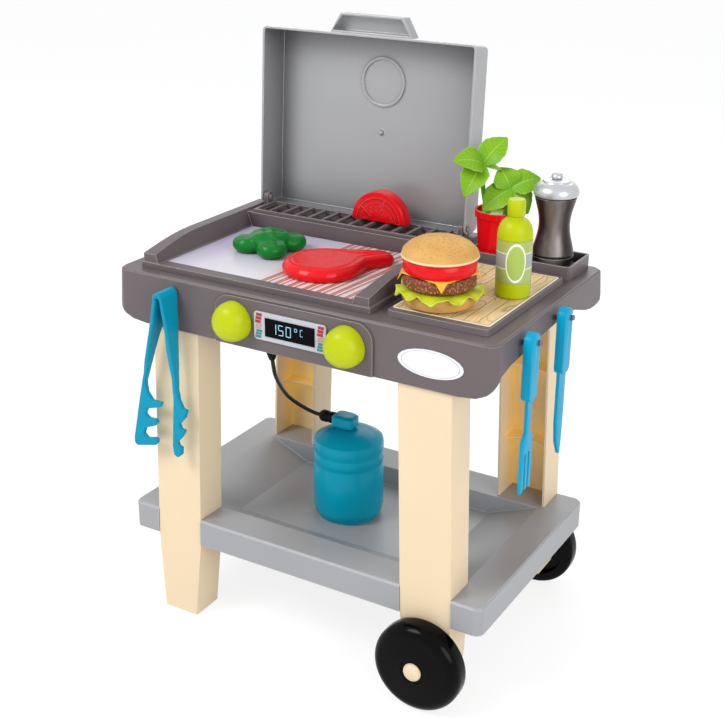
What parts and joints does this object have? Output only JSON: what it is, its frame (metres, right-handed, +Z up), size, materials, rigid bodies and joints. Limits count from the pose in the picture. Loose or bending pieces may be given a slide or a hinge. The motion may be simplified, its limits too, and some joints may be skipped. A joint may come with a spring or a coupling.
{
  "type": "toy barbecue grill",
  "caption": "Play barbecue cart with a hinged lid, turning knobs, shelf, wheels, gas bottle with hose, hanging utensils, play food, caddy, plant and pepper mill.",
  "frame": {"origin": "on the floor, at the middle of the plan's bounding box without the hose", "axes": "+Z up, +X to the right as seen from the front, +Y towards the back"},
  "size_m": [0.5112, 0.3644, 0.7235],
  "materials": {
    "anthracite": "satin moulded anthracite grey",
    "black": "glossy black",
    "brown": "textured brown",
    "bun": "satin tan",
    "cream": "satin cream",
    "cyan": "glossy cyan blue",
    "green": "glossy green",
    "leaf": "glossy leaf green",
    "lettuce": "glossy yellow green",
    "lid_grey": "satin metallic grey",
    "lime": "glossy lime",
    "print": "printed sticker",
    "red": "glossy red",
    "shelf_grey": "satin mid grey",
    "silver": "satin silver",
    "teal": "glossy petrol blue",
    "white": "glossy pale sticker",
    "wood": "printed pale wood",
    "yellow": "glossy yellow"
  },
  "bodies": {
    "stand": {"axle_front": "cream", "axle_rear": "cream", "board_base": "anthracite", "bottle_valve": "teal", "caddy": "anthracite", "control_panel": "anthracite", "cooking_plate": "print", "display_plate": "white", "display_screen": "black", "firebox_frame": "anthracite", "fork_peg": "anthracite", "front_badge": "white", "gas_bottle": "teal", "gas_hose": "black", "grill_rack": "anthracite", "hose_connector": "black", "hose_socket": "black", "knife_peg": "anthracite", "leg_front_left": "cream", "leg_front_right": "cream", "leg_rear_left": "cream", "leg_rear_right": "cream", "shelf": "shelf_grey", "tongs_peg": "anthracite", "wood_panel": "wood", "worktop": "anthracite"},
    "lid": {"lid_shell": "lid_grey", "lid_handle": "lid_grey", "lid_pin_left": "lid_grey", "lid_pin_right": "lid_grey"},
    "knob_left": {"knob_left": "lime"},
    "knob_right": {"knob_right": "lime"},
    "wheel_front": {"wheel_front": "black"},
    "wheel_rear": {"wheel_rear": "black"},
    "tongs": {"tongs": "cyan"},
    "fork": {"fork": "cyan"},
    "knife": {"knife": "cyan"},
    "burger": {"bun_bottom": "bun", "lettuce": "lettuce", "patty": "brown", "cheese": "yellow", "tomato_slice": "red", "bun_top": "bun"},
    "chop": {"chop": "red"},
    "vegetable": {"vegetable": "green"},
    "tomato_half": {"tomato_half": "red"},
    "sauce": {"sauce_bottle": "lime", "sauce_cap": "lime", "sauce_label": "leaf"},
    "plant": {"plant_pot": "red", "pot_filling": "leaf", "sprig_left": "leaf", "sprig_right": "leaf"},
    "mill": {"mill_body": "anthracite"},
    "mill_cap": {"mill_cap": "silver", "mill_nub": "silver"}
  },
  "joints": [
    {"name": "lid_hinge", "type": "hinge", "parent": "stand", "child": "lid", "pos_m": [-0.00918, 0.1018, 0.483], "axis": [-1, 0, 0], "range_deg": [-93.1, 0]},
    {"name": "knob_left_turn", "type": "hinge", "parent": "stand", "child": "knob_left", "pos_m": [-0.08318, -0.1482, 0.415], "axis": [0, -1, 0], "continuous": true},
    {"name": "knob_right_turn", "type": "hinge", "parent": "stand", "child": "knob_right", "pos_m": [0.06312, -0.1482, 0.415], "axis": [0, -1, 0], "continuous": true},
    {"name": "wheel_front_spin", "type": "hinge", "parent": "stand", "child": "wheel_front", "pos_m": [0.16432, -0.1482, 0.054], "axis": [0, -1, 0], "continuous": true},
    {"name": "wheel_rear_spin", "type": "hinge", "parent": "stand", "child": "wheel_rear", "pos_m": [0.16832, 0.1518, 0.054], "axis": [0, 1, 0], "continuous": true},
    {"name": "tongs_lift", "type": "slide", "parent": "stand", "child": "tongs", "axis": [0, -1, 0], "range_m": [0, 0.05]},
    {"name": "fork_lift", "type": "slide", "parent": "stand", "child": "fork", "axis": [0.9781, 0, 0.2079], "range_m": [0, 0.04]},
    {"name": "knife_lift", "type": "slide", "parent": "stand", "child": "knife", "axis": [0.9781, 0, 0.2079], "range_m": [0, 0.04]},
    {"name": "burger_lift", "type": "slide", "parent": "stand", "child": "burger", "axis": [0, 0, 1], "range_m": [0, 0.1]},
    {"name": "chop_lift", "type": "slide", "parent": "stand", "child": "chop", "axis": [0, 0, 1], "range_m": [0, 0.08]},
    {"name": "vegetable_lift", "type": "slide", "parent": "stand", "child": "vegetable", "axis": [0, 0, 1], "range_m": [0, 0.08]},
    {"name": "tomato_half_lift", "type": "slide", "parent": "stand", "child": "tomato_half", "axis": [0, 0, 1], "range_m": [0, 0.08]},
    {"name": "sauce_lift", "type": "slide", "parent": "stand", "child": "sauce", "axis": [0, 0, 1], "range_m": [0, 0.1]},
    {"name": "plant_lift", "type": "slide", "parent": "stand", "child": "plant", "axis": [0, 0, 1], "range_m": [0, 0.08]},
    {"name": "mill_lift", "type": "slide", "parent": "stand", "child": "mill", "axis": [0, 0, 1], "range_m": [0, 0.08]},
    {"name": "mill_cap_turn", "type": "hinge", "parent": "mill", "child": "mill_cap", "pos_m": [0.18432, 0.1133, 0.5335], "axis": [0, 0, 1], "continuous": true}
  ]
}
